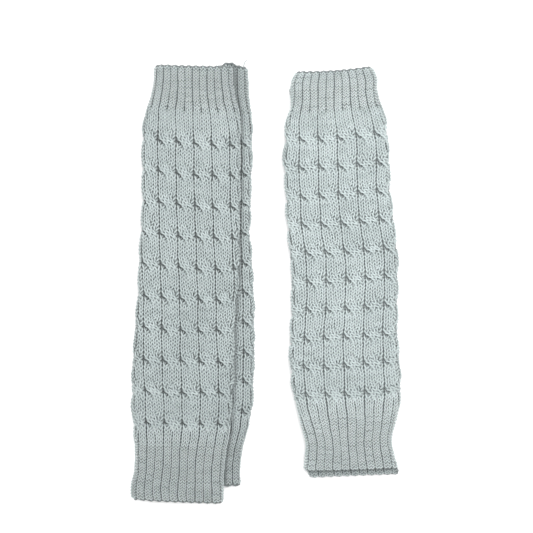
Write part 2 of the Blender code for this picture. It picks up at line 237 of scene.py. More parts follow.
# Slow waves keep columns and rows from being dead straight: the size of each, its turns per cable and per mm.
wander = {
    "across": ((0.016, 0.31, 0.021), (0.010, -0.47, 0.067)),
    "along": ((0.45, 0.23, 0.013), (0.3, -0.61, 0.037)),
}


def wave(name, leg, q, y):
    # a sum of sines, which starts elsewhere in each tube
    sizes = np.array(wander[name])
    phase = 2 * np.pi * (sizes[:, 1] * q[..., None] + sizes[:, 2] * y[..., None] + hems(leg)[0])
    return (sizes[:, 0] * np.sin(phase)).sum(-1)


def onTube(leg, q, y, out):
    # out is the distance outward from the plain wall; gives places in metres
    q, y = np.broadcast_arrays(q, y)
    q, y = q + wave("across", leg, q, y), y + awayFromHems(leg, y) * wave("along", leg, q, y)
    y = y + hemBump(leg, q, y)
    out = out + crease(leg, q, y)
    centre, nx, nz = aroundTube(leg, q, y)
    reach = cloth["half"] + out
    x, z = centre + nx * reach, nz * reach
    y = y + rowRise(leg, x, y) + hemLift(leg, x, y)
    z = np.maximum(z + cloth["half"] + heightUnder(leg, x, y), tubeLook["lowest"])
    return np.stack([x + cloth["shift"][0], y + cloth["shift"][1], z], -1) * mm


def hemLift(leg, x, y):
    # where the top hem stands up in a soft peak, a bell across
    at, halfWidth, rise = leg["hemLift"]
    bell = np.exp(-((x - at) / halfWidth)**2)
    return rise * bell * smooth(1 - (hems(leg)[0] - y) / cloth["liftReach"])


def hemBump(leg, q, y):
    # at both hems each rib's end stands out and the ditches beside it pull in; a cable has two ribs
    top, bottom = hems(leg)
    atTop = smooth(1 - (top - y) / cloth["bumpReach"])
    atBottom = smooth(1 - (y - bottom) / cloth["bumpReach"])
    return -cloth["hemBump"] * np.cos(2 * np.pi * 2 * q) * (atTop - atBottom)


def crease(leg, q, y):
    # soft valleys and swells of the upper wall: a bell across times a flatter bell along
    centre, _, nz = aroundTube(leg, q, y)
    total = 0.0 * centre
    for x, along, halfWidth, halfLength, rise in leg["creases"]:
        bell = np.exp(-((centre - x) / halfWidth)**2 - np.abs((y - along) / halfLength)**4)
        total = total + rise * bell * smooth(nz)
    return total


def atFold(leg, q, y):
    # the cables lie flatter round a fold, and their crossings notch the outline
    look = strandLook
    nx = aroundTube(leg, q, y)[1]
    count = (leg["firstCrossing"] - y) / leg["pitch"]
    scallop = -np.cos(2 * np.pi * (count - look["notchBelow"]))
    before, after = look["notchesFrom"], cloth["crossings"] - 1 + look["notchesTo"]
    within = smooth((count - before) / look["notchesFade"]) * smooth((after - count) / look["notchesFade"])
    return nx**2 * (look["scallop"] * scallop * within - look["flatterAtFold"])


def awayFromHems(leg, y):
    # 0 at both hems, 1 from some way in
    top, bottom = hems(leg)
    return smooth((top - y) / cloth["steadyHem"]) * smooth((y - bottom) / cloth["steadyHem"])


def onFront(leg, q, y):
    # 1 on the side that faces up, falling round the folds to 0 underneath
    nz = aroundTube(leg, q, y)[2]
    step = strandLook["frontStep"]
    return smooth((nz + step) / (2 * step))


# How the strands run. A "pitch" is the way from one crossing to the next, and "past" counts pitches from one.

strandLook = {
    "bend": 2.7,                # power: how fast an edge leaves its ditch at a crossing
    "lag": 0.12,                # how much later its right edge reaches the other ditch, in pitches
    "underLeft": (-0.35, 0.45), # where the lower strand's edges start to swing over, and in what length
    "underRight": (-0.02, 0.4),
    "crossingReach": 0.36,      # pitches to either side over which a crossing is felt
    "tilt": 2.6,                # a row's ends lie this far up and down where its strand runs slanting
    "ditchGap": 0.012,          # share of a cable left bare beside a ditch
    "ribGap": 0.065,            # and of a strand's width where it is a rib
    "cableArch": 2.6,           # powers: the higher, the flatter the top
    "ribArch": 1.9,
    "base": -0.3,               # how far out a strand's sides lie
    "cableRise": 1.8,           # and how much further its middle does
    "ribRise": 1.9,
    "overRise": 0.2,            # how far a strand lifts where it crosses over
    "edgeRoll": 0.5,            # less this at its edges
    "rollPower": 5,
    "underSink": 1.0,           # and sinks where it crosses under
    "grooveSink": 3.0,          # more where the strand above hides it, which opens a dark groove
    "grooveWidth": (0.03, 0.3), # right and left of the strand above, in cables
    "grooveLength": (0.22, 0.38),   # full and fading, in pitches
    "pinch": 0.5,               # how far the whole cable sinks at a crossing
    "eyeSink": 0.4,             # and its sides beside the ditch, more
    "eyeSize": (0.16, 0.12),    # in cables across and in pitches along
    "seamPit": 3.4,             # a small hole between a cable's two ribs, under the top cuff
    "pitBelow": 2.0,
    "pitAcross": (0.027, 0.117),    # full and fading, in cables
    "pitAlong": (1.25, 3.75),
    "ribsAtTop": (-5.0, 6.0),   # where from the seams the strands turn to ribs, and in what length
    "ribsAtBottom": (12.0, 20.0),
    "ribsAfterLast": (0.1, 0.25),   # past the last crossing, in pitches
    "ribsBeforeSeam": 0.9,      # share of a rib that they are by then
    "frontStep": 0.6,           # the front fades from facing this much up to facing this much down
    "sinkUnderneath": 1.5,      # how far in the stitches lie past a fold
    "flatterAtFold": 0.1,       # and how much lower they lie round it
    "scallop": 0.8,             # how far the crossings notch the outline
    "notchBelow": 0.12,         # how far below a crossing its notch lies, in pitches
    "notchesFrom": -1.0,        # from this far past the first crossing
    "notchesTo": 0.7,           # to this far past the last one
    "notchesFade": 0.5,
}


def strandPlace(leg, strand, u, y):
    # u goes from -1 to 1 across a strand. At each crossing the strand on the left swings over to the right:
    # its left edge leaves the left ditch and its right edge just reaches the right one. The other goes under.
    look = strandLook
    cable, side = np.floor_divide(strand, 2), np.mod(strand, 2)
    count = (leg["firstCrossing"] - y) / leg["pitch"]
    crossing = np.clip(np.round(count), 0, cloth["crossings"] - 1)
    over = np.mod(crossing + side, 2) == 0
    near = fades(count - crossing, 0, look["crossingReach"])
    y = y + look["tilt"] * u * near * np.where(over, 1.0, -1.0)
    past = (leg["firstCrossing"] - y) / leg["pitch"] - crossing
    near = fades(past, 0, look["crossingReach"])
    overLeft = 0.5 - 0.5 * (1 - np.clip(2 * past, 0, 1))**look["bend"]
    overRight = 0.5 + 0.5 * (1 - np.clip(2 * (look["lag"] - past), 0, 1))**look["bend"]
    underLeft = 0.5 - 0.5 * stepFrom(past, look["underLeft"])
    underRight = 1.0 - 0.5 * stepFrom(past, look["underRight"])
    left, right = np.where(over, overLeft, underLeft), np.where(over, overRight, underRight)
    rib = ribShare(leg, y, past, crossing)
    place = 0.5 + 0.5 * u * (1 - look["ribGap"] * rib)
    across = look["ditchGap"] + (1 - 2 * look["ditchGap"]) * (left + (right - left) * place)
    cableTop = 1 - np.abs(2 * across - 1)**look["cableArch"]
    ribTop = 1 - np.abs(u)**look["ribArch"]
    out = look["base"] + look["cableRise"] * cableTop * (1 - rib) + look["ribRise"] * ribTop * rib
    rightOf = smooth((across - overLeft) / look["grooveWidth"][1] + 1)
    leftOf = smooth((overRight - across) / look["grooveWidth"][0] + 1)
    groove = look["grooveSink"] * rightOf * leftOf * fades(past, *look["grooveLength"])
    rise = near * (look["overRise"] - look["edgeRoll"] * np.abs(u)**look["rollPower"])
    out = out + (1 - rib) * np.where(over, rise, -near * look["underSink"] * leftOf - groove)
    fromDitch = np.minimum(across, 1 - across)
    eye = fades(fromDitch, 0, look["eyeSize"][0]) * fades(past, 0, look["eyeSize"][1])
    out = out - (1 - rib) * (look["pinch"] * near + look["eyeSink"] * eye)
    fromPit = y - leg["seams"][0] + look["pitBelow"]
    pit = fades(fromPit, *look["pitAlong"]) * fades(across - 0.5, *look["pitAcross"])
    out = out - look["seamPit"] * pit
    waleWidth = (right - left) * (1 - look["ribGap"] * rib) * cableWidth(leg, y) / 2
    return cable + across, y, out, waleWidth, rib


def ribShare(leg, y, past, crossing):
    # 1 in the cuffs, where each strand is a rib; below the last crossing the strands part slowly
    look = strandLook
    top, bottom = leg["seams"]
    parting = look["ribsBeforeSeam"] * stepFrom(past, look["ribsAfterLast"])
    last = np.where(crossing == cloth["crossings"] - 1, parting, 0.0)
    above, length = look["ribsAtBottom"]
    inCuff = np.maximum(stepFrom(y - top, look["ribsAtTop"]), smooth((bottom + above - y) / length))
    return np.maximum(inCuff, last)


# Yarn

yarnLook = {
    "turns": (0, 42, 75, 108, 150, 210, 252, 285, 318),     # degrees round one stitch
    "swing": 0.29,              # how far a loop's legs lean, in wales
    "swingInRibs": 0.335,
    "reach": 0.98,              # half a loop's height, in rows
    "reachInRibs": 0.82,
    "depth": 0.9,               # its legs stand this far forward, and its head and feet this far back
    "depthUnderneath": 0.5,     # share of that on the side underneath
    "endsSink": 0.7,            # each course's ends turn in
    "radius": (0.42, 0.9),      # least and most
    "radiusOfWale": 0.168,      # and as a share of a wale's width
    "slimmerInRibs": 0.026,     # which is this much less in the ribs
    "thinAtHead": 0.24,         # share by which the head and feet are thinner
    "sides": 5,
    "hemRow": 1.6,              # no course is nearer to a hem
    "edge": 0.8,                # loops roll over the hem this far from its end
    "roll": 1.0,                # and turn in by this towards it
    "rollReach": 3.0,           # over this length
    "lowest": -5.5,             # no line sinks deeper, and far less round a fold
    "lessAtFold": 4.3,
    "aboveFloor": 0.05,         # no yarn lies lower over the surface
    "unevenAlong": 0.12,        # chance shifts of a course, along and out
    "unevenOut": 0.08,
    "unevenWidth": 0.04,        # share of a strand's half width that its middle shifts
    "unevenRadius": 0.03,
    "paleInRibs": (2.5, 6.5),   # in a lower tube's cuffs and in an upper one's; the lower one's smaller share is painted shade
    "paintedShadePower": 2.0,           # how soon a loop goes to the painted shade colour towards its head and feet
    "lessPaintedShade": 0.1,            # and how much less painted shade where its wale is wider than a plain one
    "plainWale": 4.8,
    "edgeShade": (0.5, 0.12, 6.0),  # painted shade beside an upper tube's edge, and where a hem peeks out, and a width
}


def courseLines(leg, strands, rows, rowHeight, ribbed):
    # One course of a strand is two stitches of the curve across = t + swing sin 2t, along = -cos t,
    # out = -cos 2t, bent onto the strand. Gives centre lines, outward directions, radii, tones, painted
    # shade.
    look = yarnLook
    oneStitch = np.array(look["turns"])
    turn = np.radians(np.concatenate([oneStitch, oneStitch + 360, [720]]))
    swing = look["swingInRibs"] if ribbed else look["swing"]
    reach = rowHeight * (look["reachInRibs"] if ribbed else look["reach"])
    strand = np.array(strands, float)[:, None, None]
    shape = (len(strands), len(rows), 1)
    along = chance.normal(0, look["unevenAlong"], shape)
    lift = chance.normal(0, look["unevenOut"], shape)
    lean = chance.normal(0, look["unevenWidth"], shape)
    u = turn / (2 * np.pi) + swing * np.sin(2 * turn) - 1 + lean * np.sin(turn / 4)
    y = rows[None, :, None] - reach * np.cos(turn) + along
    q, y, out, waleWidth, rib = strandPlace(leg, strand, u, y)
    top, bottom = hems(leg)
    edgeTop, edgeBottom = top - look["edge"], bottom + look["edge"]
    pastEdge = np.maximum(np.maximum(y - edgeTop, edgeBottom - y), 0.0)
    rolled = look["roll"] * smooth(1 - np.minimum(edgeTop - y, y - edgeBottom) / look["rollReach"])
    y, out = np.clip(y, edgeBottom, edgeTop), out - pastEdge - rolled
    front = onFront(leg, q, y)
    out = front * out - (1 - front) * strandLook["sinkUnderneath"] + atFold(leg, q, y)
    depth = look["depth"] * (look["depthUnderneath"] + (1 - look["depthUnderneath"]) * front)
    out = out - depth * np.cos(2 * turn) + lift
    out = np.maximum(out, look["lowest"] + look["lessAtFold"] * aroundTube(leg, q, y)[1]**2)
    out[..., [0, -1]] -= look["endsSink"]
    centre = onTube(leg, q, y, out)
    outward = onTube(leg, q, y, out + 1.0) - centre
    radius = np.clip((look["radiusOfWale"] - look["slimmerInRibs"] * rib) * waleWidth, *look["radius"]) * mm
    uneven = 1 + chance.normal(0, look["unevenRadius"], shape)
    radius = radius * (1 - look["thinAtHead"] * np.cos(turn)**2) * uneven
    # the lower tube's cuffs are less pale than the upper one's: painted shade where it lies under the other
    tone = chance.normal(0, 1, shape) + look["paleInRibs"][leg["on"] is not None] * rib
    stretch = np.clip(waleWidth / look["plainWale"] - 1, 0, 1)
    # painted shade: a loop darkens towards its head and feet, where it turns back into the cloth
    paintedShade = np.abs(np.cos(turn))**look["paintedShadePower"] * (1 - look["lessPaintedShade"] * stretch)
    # painted shade beside an upper tube's edge is added to the loops' own
    paintedShade = 1 - (1 - paintedShade) * (1 - edgeShade(leg, centre[..., 0] / mm, y))
    lines = (-1, len(turn))
    return (centre.reshape(*lines, 3), outward.reshape(*lines, 3), radius.reshape(lines), tone.reshape(lines),
            paintedShade.reshape(lines))


def edgeShade(leg, x, y):
    # painted shade: a lower tube is darker beside the right edge of the one on it, and a little where it
    # peeks out at a hem
    beside, atHem, width = yarnLook["edgeShade"]
    for other in legWarmers.values():
        if other["on"] and legWarmers[other["on"]] is leg:
            past = (x - readOutline(other, y, "right")) / width
            return beside * smooth(1 - past) * smooth(1 + 2 * past) + atHem * smooth(-past)
    return 0.0


def addTubes(name, lines, material, sides, closed=False):
    # a ring of points round every point of every line, joined by quads, with a flat face on each open end
    centre, outward, radius, tone, paintedShade = lines
    if closed:
        ahead = unit(np.roll(centre, -1, 1) - np.roll(centre, 1, 1))
    else:
        ahead = unit(np.gradient(centre, axis=1))
    aside = unit(np.cross(ahead, outward))
    up = np.cross(aside, ahead)
    angle = 2 * np.pi * (np.arange(sides) + 0.5) / sides
    ring = np.cos(angle)[:, None] * aside[:, :, None, :] + np.sin(angle)[:, None] * up[:, :, None, :]
    verts = centre[:, :, None, :] + ring * radius[:, :, None, None]
    verts[..., 2] = np.maximum(verts[..., 2], yarnLook["aboveFloor"] * mm)
    index = np.arange(radius.size * sides).reshape(*radius.shape, sides)
    here = index if closed else index[:, :-1]
    spans = here.shape[1]
    there = np.roll(index, -1, 1)[:, :spans]
    quads = np.stack([here, np.roll(here, -1, 2), np.roll(there, -1, 2), there], -1).reshape(-1, 4)
    step = np.linalg.norm(np.roll(centre, -1, 1) - centre, axis=2)[:, :spans] / mm
    start = (np.cumsum(step, 1) - step)[:, :, None]
    side = np.arange(sides) / sides
    corners = ((side, start), (side + 1 / sides, start), (side + 1 / sides, start + step[:, :, None]),
               (side, start + step[:, :, None]))
    uv = np.stack([np.stack(np.broadcast_arrays(*corner), -1) for corner in corners], 3)
    loops, uvs, starts = [quads.ravel()], [uv.reshape(-1, 2)], [np.arange(len(quads)) * 4]
    if not closed:
        caps = np.concatenate([index[:, 0, ::-1], index[:, -1]])
        loops.append(caps.ravel())
        uvs.append(np.zeros((caps.size, 2)))
        starts.append(len(quads) * 4 + np.arange(len(caps)) * sides)
    marks = {"tone": np.repeat(tone.ravel(), sides), "paintedShade": np.repeat(paintedShade.ravel(), sides)}
    loops, starts, uvs = np.concatenate(loops), np.concatenate(starts), np.concatenate(uvs)
    return newPiece(name, verts, loops, starts, material, uvs, marks)


def unit(vectors):
    return vectors / np.maximum(np.linalg.norm(vectors, axis=-1, keepdims=True), 1e-12)


def newPiece(name, verts, loops, starts, material, uvs, marks):
    verts = verts.reshape(-1, 3)
    mesh = bpy.data.meshes.new(name)
    mesh.vertices.add(len(verts))
    mesh.vertices.foreach_set("co", verts.astype(np.float32).ravel())
    mesh.loops.add(len(loops))
    mesh.loops.foreach_set("vertex_index", loops.astype(np.int32))
    mesh.polygons.add(len(starts))
    mesh.polygons.foreach_set("loop_start", starts.astype(np.int32))
    layer = mesh.uv_layers.new(name="thread")
    layer.uv.foreach_set("vector", uvs.astype(np.float32).ravel())
    for mark, values in marks.items():
        mesh.attributes.new(mark, "FLOAT", "POINT").data.foreach_set("value", values.astype(np.float32))
    mesh.update(calc_edges=True)
    mesh.validate()
    mesh.shade_smooth()
    mesh.materials.append(material)
    piece = bpy.data.objects.new(name, mesh)
    bpy.context.scene.collection.objects.link(piece)
    return piece


# The tube under the stitches

tubeLook = {
    "lowest": 0.1,              # nothing of the tube lies lower over the surface
    "columnsPerCable": 6,
    "rowHeight": 5.4,           # of the tube's grid outside; inside it is twice as high
    "hemInset": 1.3,
    "underStitches": -1.0,      # how far out it lies under them
    "coverStep": 0.2,           # and over what part of a cable it comes up beside them
    "ridgePower": 3,            # the higher, the flatter a ridge's top
    "fullRidge": 0.25,          # width from which a ridge has its full height, in cables
    "paleInCuffs": 0.15,        # how much lighter the painted shade between the stitches is in the cuffs
    "paleAtTop": (0.0, 6.0),    # where from the seams the cuffs' painted shade gets lighter, and in what length
    "paleAtBottom": (8.0, 8.0),
}


def solidRelief(leg, q, y):
    # the cables as plain rounded ridges, for the sides that are covered or lie underneath
    look = tubeLook
    across = q - np.floor(q)
    count = (leg["firstCrossing"] - y) / leg["pitch"]
    last = cloth["crossings"] - 1
    cell = np.clip(np.floor(count), -1, last)
    swing = np.clip(2 * (count - cell) - 1, np.where(cell == -1, 0, -1), np.where(cell == last, 0, 1))
    groove = 0.5 + 0.5 * np.sign(swing) * np.abs(swing)**strandLook["bend"]
    inLeft = across < groove
    width = np.where(inLeft, groove, 1 - groove)
    place = np.where(inLeft, across, across - groove) / np.maximum(width, 1e-6)
    ridge = 1 - np.abs(2 * place - 1)**look["ridgePower"]
    return cloth["cableRise"] * ridge * np.minimum(1, width / look["fullRidge"])


def makeTube(name, leg, material):
    # a closed grid: down the outside from hem to hem, then up the inside
    look = tubeLook
    top, bottom = hems(leg)[0] - look["hemInset"], hems(leg)[1] + look["hemInset"]
    rows = int((top - bottom) / look["rowHeight"])
    y = np.concatenate([np.linspace(top, bottom, rows + 1), np.linspace(bottom, top, rows // 2 + 1)])[:, None]
    columns = cloth["cablesRound"] * look["columnsPerCable"]
    q = (np.arange(columns) / look["columnsPerCable"] - cloth["cablesRound"] // 2)[None, :]
    covered = coveredShare(leg, q, y)
    out = solidRelief(leg, q, y) * onFront(leg, q, y) * (1 - covered) + look["underStitches"] * covered
    isInside = (np.arange(len(y)) > rows)[:, None]
    verts = onTube(leg, q, y, np.where(isInside, -cloth["wall"], out))
    index = np.arange(out.size).reshape(out.shape)
    right, down = np.roll(index, -1, 1), np.roll(index, -1, 0)
    quads = np.stack([index, down, np.roll(right, -1, 0), right], -1).reshape(-1, 4)
    wale = np.broadcast_to(q * 4, index.shape)
    nextWale = wale + 4 / look["columnsPerCable"]
    row = np.broadcast_to(y / leg["pitch"] * cloth["rowsPerCrossing"], index.shape)
    nextRow = np.roll(row, -1, 0)
    corners = ((wale, row), (wale, nextRow), (nextWale, nextRow), (nextWale, row))
    uv = np.stack([np.stack(corner, -1) for corner in corners], 2).reshape(-1, 2)
    above, length = look["paleAtBottom"]
    inCuff = stepFrom(y - leg["seams"][0], look["paleAtTop"])
    inCuff = inCuff + smooth((leg["seams"][1] + above - y) / length)
    # the share of painted shade between the stitches, less in the cuffs
    marks = {"covered": np.where(isInside, 0.0, covered * (1 - look["paleInCuffs"] * inCuff)).ravel()}
    return newPiece(name, verts, quads.ravel(), np.arange(len(quads)) * 4, material, uv, marks)


def coveredShare(leg, q, y):
    # 1 where stitches lie on the tube
    top, bottom = leg["seams"]
    inTop, inBottom = [amongStrands(q, strands) for strands in leg["cuffStrands"]]
    return np.where(y > top, inTop, np.where(y < bottom, inBottom, amongStrands(q, leg["strands"])))


def amongStrands(q, strands):
    # 1 from the first strand to the last; a cable has two
    first, last = strands[0] / 2, strands[1] / 2
    total = cloth["cablesRound"]
    off = np.abs(np.mod(q - (first + last) / 2 + total / 2, total) - total / 2)
    return smooth(((last - first) / 2 - off) / tubeLook["coverStep"] + 0.5)


# Hems

hemLook = {
    "radius": 0.62,
    "twist": 0.55,              # how far each thread winds from their common line
    "pointsPerWale": 5,
    "sides": 5,
    "out": -0.9,                # how far out that line lies
    "overRibs": 0.5,            # and what share of a rib's rise it follows on the front
    "inset": 1.5,               # this far inside the edge
    "paintedShade": 0.7,                # how far the threads go to the painted shade colour
}


def hemLines(leg, y):
    # two threads twisted round each other, once a wale, all round the mouth
    look = hemLook
    step = np.arange(cloth["cablesRound"] * 4 * look["pointsPerWale"])
    q = (step / look["pointsPerWale"] / 4)[None, :]
    phase = (2 * np.pi * step / look["pointsPerWale"])[None, :] + np.array([0, np.pi])[:, None]
    rib = 1 - np.abs(2 * np.mod(q * 2, 1) - 1)**strandLook["ribArch"]
    out = look["out"] + onFront(leg, q, y) * look["overRibs"] * strandLook["ribRise"] * rib
    centre = onTube(leg, q, y + look["twist"] * np.cos(phase), out + look["twist"] * np.sin(phase))
    outward = onTube(leg, q, y, out + 1.0) - onTube(leg, q, y, out)
    even = np.ones(centre.shape[:2])
    tone = chance.normal(0, 1, (2, 1)) * even
    return centre, outward, look["radius"] * mm * even, tone, look["paintedShade"] * even


# Finishes. Colours are red, green and blue.

yarnFinish = {
    # the darkest colour is painted shade, where the yarn turns back into the cloth
    "light": (0.54, 0.605, 0.605), "dark": (0.41, 0.47, 0.47), "paintedShade": (0.07, 0.08, 0.08),
    "paintedLight": {"left": 1.0, "right": 1.1},       # painted light: the right pair is a shade paler, lit more than the left
    "roughness": 0.95, "shine": 0.25, "sheen": 0.15, "sheenRoughness": 0.6,
    "plies": 3, "plyLength": 3.4, "plyBump": 0.35, "bumpStrength": 0.6,
    "fuzzScale": 2600.0, "fuzzHeight": 0.5,
    "cloudScale": 18.0,         # soft changes of tone over the cloth
    "toneShare": 0.12,          # how much the chance tone, and the place in a ply, lighten the yarn; the latter is painted shade between plies
    "plyShare": 0.45,
    "toneLess": 0.28,
    "toneMost": 2.0,
}
groundFinish = {
    # painted shade: the tube where it shows between the stitches, from the bottom of its V marks to their top
    "under": {
        # the left pair's painted shade is darker, as its yarn is
        "left": ((0.045, 0.05, 0.05), (0.24, 0.27, 0.27)),
        "right": ((0.075, 0.085, 0.085), (0.33, 0.37, 0.37)),
    },
    "darkShare": 0.55,          # of the yarn's dark colour, painted shade between the V marks elsewhere
    "slant": 1.6,               # how far a V mark rises from its foot to its end, in rows a wale
    "shine": 0.2, "markBump": 0.8, "bumpStrength": 0.8,
}


def addNode(tree, kind, at, **values):
    # each value is a setting of the node, or else that of an input
    node = tree.nodes.new(kind)
    node.location = at
    for key, value in values.items():
        if hasattr(node, key):
            setattr(node, key, value)
        else:
            node.inputs[key].default_value = value
    return node


def mathNode(tree, operation, a, b, at):
    # a and b are sockets, numbers or nothing
    node = addNode(tree, "ShaderNodeMath", at, operation=operation)
    for socket, value in zip(node.inputs, (a, b)):
        if hasattr(value, "is_output"):
            tree.links.new(value, socket)
        elif value is not None:
            socket.default_value = value
    return node.outputs[0]


def mixNode(tree, at, share, first, second, **values):
    # each colour is a socket or three numbers
    node = addNode(tree, "ShaderNodeMix", at, data_type="RGBA", **values)
    tree.links.new(share, node.inputs[0])
    for socket, colour in ((node.inputs[6], first), (node.inputs[7], second)):
        if hasattr(colour, "is_output"):
            tree.links.new(colour, socket)
        else:
            socket.default_value = (*colour, 1)
    return node.outputs[2]


def rippleNode(tree, value, times, at):
    # the absolute value of a sine, which has a crest at every half turn
    x, y = at
    turned = mathNode(tree, "MULTIPLY", value, times, at)
    return mathNode(tree, "ABSOLUTE", mathNode(tree, "SINE", turned, None, (x + 150, y)), None, (x + 300, y))


def newMaterial(name, look):
    material = bpy.data.materials.new(name)
    material.use_nodes = True
    shader = material.node_tree.nodes["Principled BSDF"]
    shader.inputs["Roughness"].default_value = yarnFinish["roughness"]
    shader.inputs["Specular IOR Level"].default_value = look["shine"]
    return material, material.node_tree, shader


def addBump(tree, shader, height, strength, distance, at):
    bump = addNode(tree, "ShaderNodeBump", at, Strength=strength, Distance=distance * mm)
    tree.links.new(height, bump.inputs["Height"])
    tree.links.new(bump.outputs[0], shader.inputs["Normal"])


def twistGroup():
    # plies wound round a thread: a ripple over the place round it plus the place along it, and fuzz on top
    tree = bpy.data.node_groups.new("threadTwist", "ShaderNodeTree")
    for name, kind in (("Around and along", "NodeSocketVector"), ("Plies", "NodeSocketFloat"),
                       ("Ply length", "NodeSocketFloat"), ("Fuzz scale", "NodeSocketFloat")):
        tree.interface.new_socket(name, in_out="INPUT", socket_type=kind)
    for name in ("Height", "Shade"):
        tree.interface.new_socket(name, in_out="OUTPUT", socket_type="NodeSocketFloat")
    start, end = addNode(tree, "NodeGroupInput", (-900, 0)), addNode(tree, "NodeGroupOutput", (700, 0))
    parts = addNode(tree, "ShaderNodeSeparateXYZ", (-700, 0))
    tree.links.new(start.outputs["Around and along"], parts.inputs[0])
    turns = mathNode(tree, "MULTIPLY", parts.outputs[0], start.outputs["Plies"], (-500, 100))
    along = mathNode(tree, "DIVIDE", parts.outputs[1], start.outputs["Ply length"], (-500, -100))
    ply = rippleNode(tree, mathNode(tree, "ADD", turns, along, (-320, 0)), math.pi, (-160, 0))
    where = addNode(tree, "ShaderNodeTexCoord", (-700, -350))
    fuzz = addNode(tree, "ShaderNodeTexNoise", (-300, -350), Detail=2.0, Roughness=0.6)
    tree.links.new(where.outputs["Object"], fuzz.inputs["Vector"])
    tree.links.new(start.outputs["Fuzz scale"], fuzz.inputs["Scale"])
    hair = mathNode(tree, "MULTIPLY", fuzz.outputs[0], yarnFinish["fuzzHeight"], (0, -350))
    tree.links.new(mathNode(tree, "ADD", ply, hair, (350, 0)), end.inputs["Height"])
    tree.links.new(ply, end.inputs["Shade"])
    return tree


def yarnMaterial(group, side):
    # from dark to light by chance tone, cloud and ply, and then towards the painted shade colour at heads and
    # feet
    look = yarnFinish
    material, tree, shader = newMaterial(f"paleYarn_{side}", look)
    shader.inputs["Sheen Weight"].default_value = look["sheen"]
    shader.inputs["Sheen Roughness"].default_value = look["sheenRoughness"]
    place = addNode(tree, "ShaderNodeUVMap", (-1100, 0), uv_map="thread")
    twist = addNode(tree, "ShaderNodeGroup", (-850, 0), node_tree=group)
    twist.inputs["Plies"].default_value = look["plies"]
    twist.inputs["Ply length"].default_value = look["plyLength"]
    twist.inputs["Fuzz scale"].default_value = look["fuzzScale"]
    tree.links.new(place.outputs[0], twist.inputs[0])
    tone = addNode(tree, "ShaderNodeAttribute", (-1100, 300), attribute_name="tone")
    where = addNode(tree, "ShaderNodeTexCoord", (-1100, 600))
    cloud = addNode(tree, "ShaderNodeTexNoise", (-850, 600), Scale=look["cloudScale"], Detail=2.0)
    tree.links.new(where.outputs["Object"], cloud.inputs["Vector"])
    toned = mathNode(tree, "MULTIPLY", tone.outputs["Fac"], look["toneShare"], (-650, 300))
    mixed = mathNode(tree, "ADD", toned, cloud.outputs[0], (-500, 400))
    # painted shade: the yarn is darker between its plies
    shaded = mathNode(tree, "MULTIPLY", twist.outputs["Shade"], look["plyShare"], (-500, 150))
    summed = mathNode(tree, "ADD", mixed, shaded, (-350, 300))
    share = addNode(tree, "ShaderNodeClamp", (-200, 300), Max=look["toneMost"])
    tree.links.new(mathNode(tree, "SUBTRACT", summed, look["toneLess"], (-300, 150)), share.inputs[0])
    dark, light = [tuple(look["paintedLight"][side] * c for c in look[name]) for name in ("dark", "light")]
    colour = mixNode(tree, (0, 300), share.outputs[0], dark, light, clamp_factor=False)
    paintedShade = addNode(tree, "ShaderNodeAttribute", (0, 550), attribute_name="paintedShade")
    colour = mixNode(tree, (200, 300), paintedShade.outputs["Fac"], colour, look["paintedShade"])
    tree.links.new(colour, shader.inputs["Base Color"])
    addBump(tree, shader, twist.outputs["Height"], look["bumpStrength"], look["plyBump"], (-200, -200))
    return material


def groundMaterial(side):
    # stitches as V marks: two slanting ridges in every wale, once a row, with painted shade where stitches
    # cover the tube
    look = groundFinish
    material, tree, shader = newMaterial(f"plainKnit_{side}", look)
    place = addNode(tree, "ShaderNodeUVMap", (-1300, 0), uv_map="thread")
    parts = addNode(tree, "ShaderNodeSeparateXYZ", (-1100, 0))
    tree.links.new(place.outputs[0], parts.inputs[0])
    inWale = mathNode(tree, "FRACT", parts.outputs[0], None, (-950, 100))
    offMiddle = mathNode(tree, "SUBTRACT", inWale, 0.5, (-800, 100))
    fromMiddle = mathNode(tree, "ABSOLUTE", offMiddle, None, (-650, 100))
    slant = mathNode(tree, "MULTIPLY", fromMiddle, look["slant"], (-500, 0))
    along = mathNode(tree, "SUBTRACT", parts.outputs[1], slant, (-350, -50))
    rows = rippleNode(tree, along, math.pi, (-200, -50))
    legs = rippleNode(tree, parts.outputs[0], 2 * math.pi, (-200, 150))
    height = mathNode(tree, "MULTIPLY", rows, legs, (250, 50))
    covered = addNode(tree, "ShaderNodeAttribute", (-100, 400), attribute_name="covered")
    # painted shade in the hollows between the V marks
    between = tuple(look["darkShare"] * c for c in yarnFinish["dark"])
    pale = mixNode(tree, (400, 300), height, between, yarnFinish["light"])
    # painted shade where the tube shows between the stitches
    shade = mixNode(tree, (400, 0), height, *look["under"][side])
    colour = mixNode(tree, (600, 300), covered.outputs["Fac"], pale, shade)
    tree.links.new(colour, shader.inputs["Base Color"])
    addBump(tree, shader, height, look["bumpStrength"], look["markBump"], (500, -150))
    return material


# Making them

def rowPlaces(leg):
    # rows from hem to hem: a whole number between crossings in the leg, and closer ones in the cuffs
    top, bottom = leg["seams"]
    step, cuffRow = leg["pitch"] / cloth["rowsPerCrossing"], leg["cuffRow"]
    first = leg["firstCrossing"] + step * math.floor((top - leg["firstCrossing"]) / step)
    inLeg = np.arange(first, bottom, -step)
    between = 0.5 * (step + cuffRow)
    above = np.arange(first + between, hems(leg)[0] - yarnLook["hemRow"], cuffRow)[::-1]
    below = np.arange(inLeg[-1] - between, hems(leg)[1] + yarnLook["hemRow"], -cuffRow)
    inTop, inBottom = leg["cuffStrands"]
    return (("top_rib", inTop, above, cuffRow), ("leg", leg["strands"], inLeg, step),
            ("bottom_rib", inBottom, below, cuffRow))


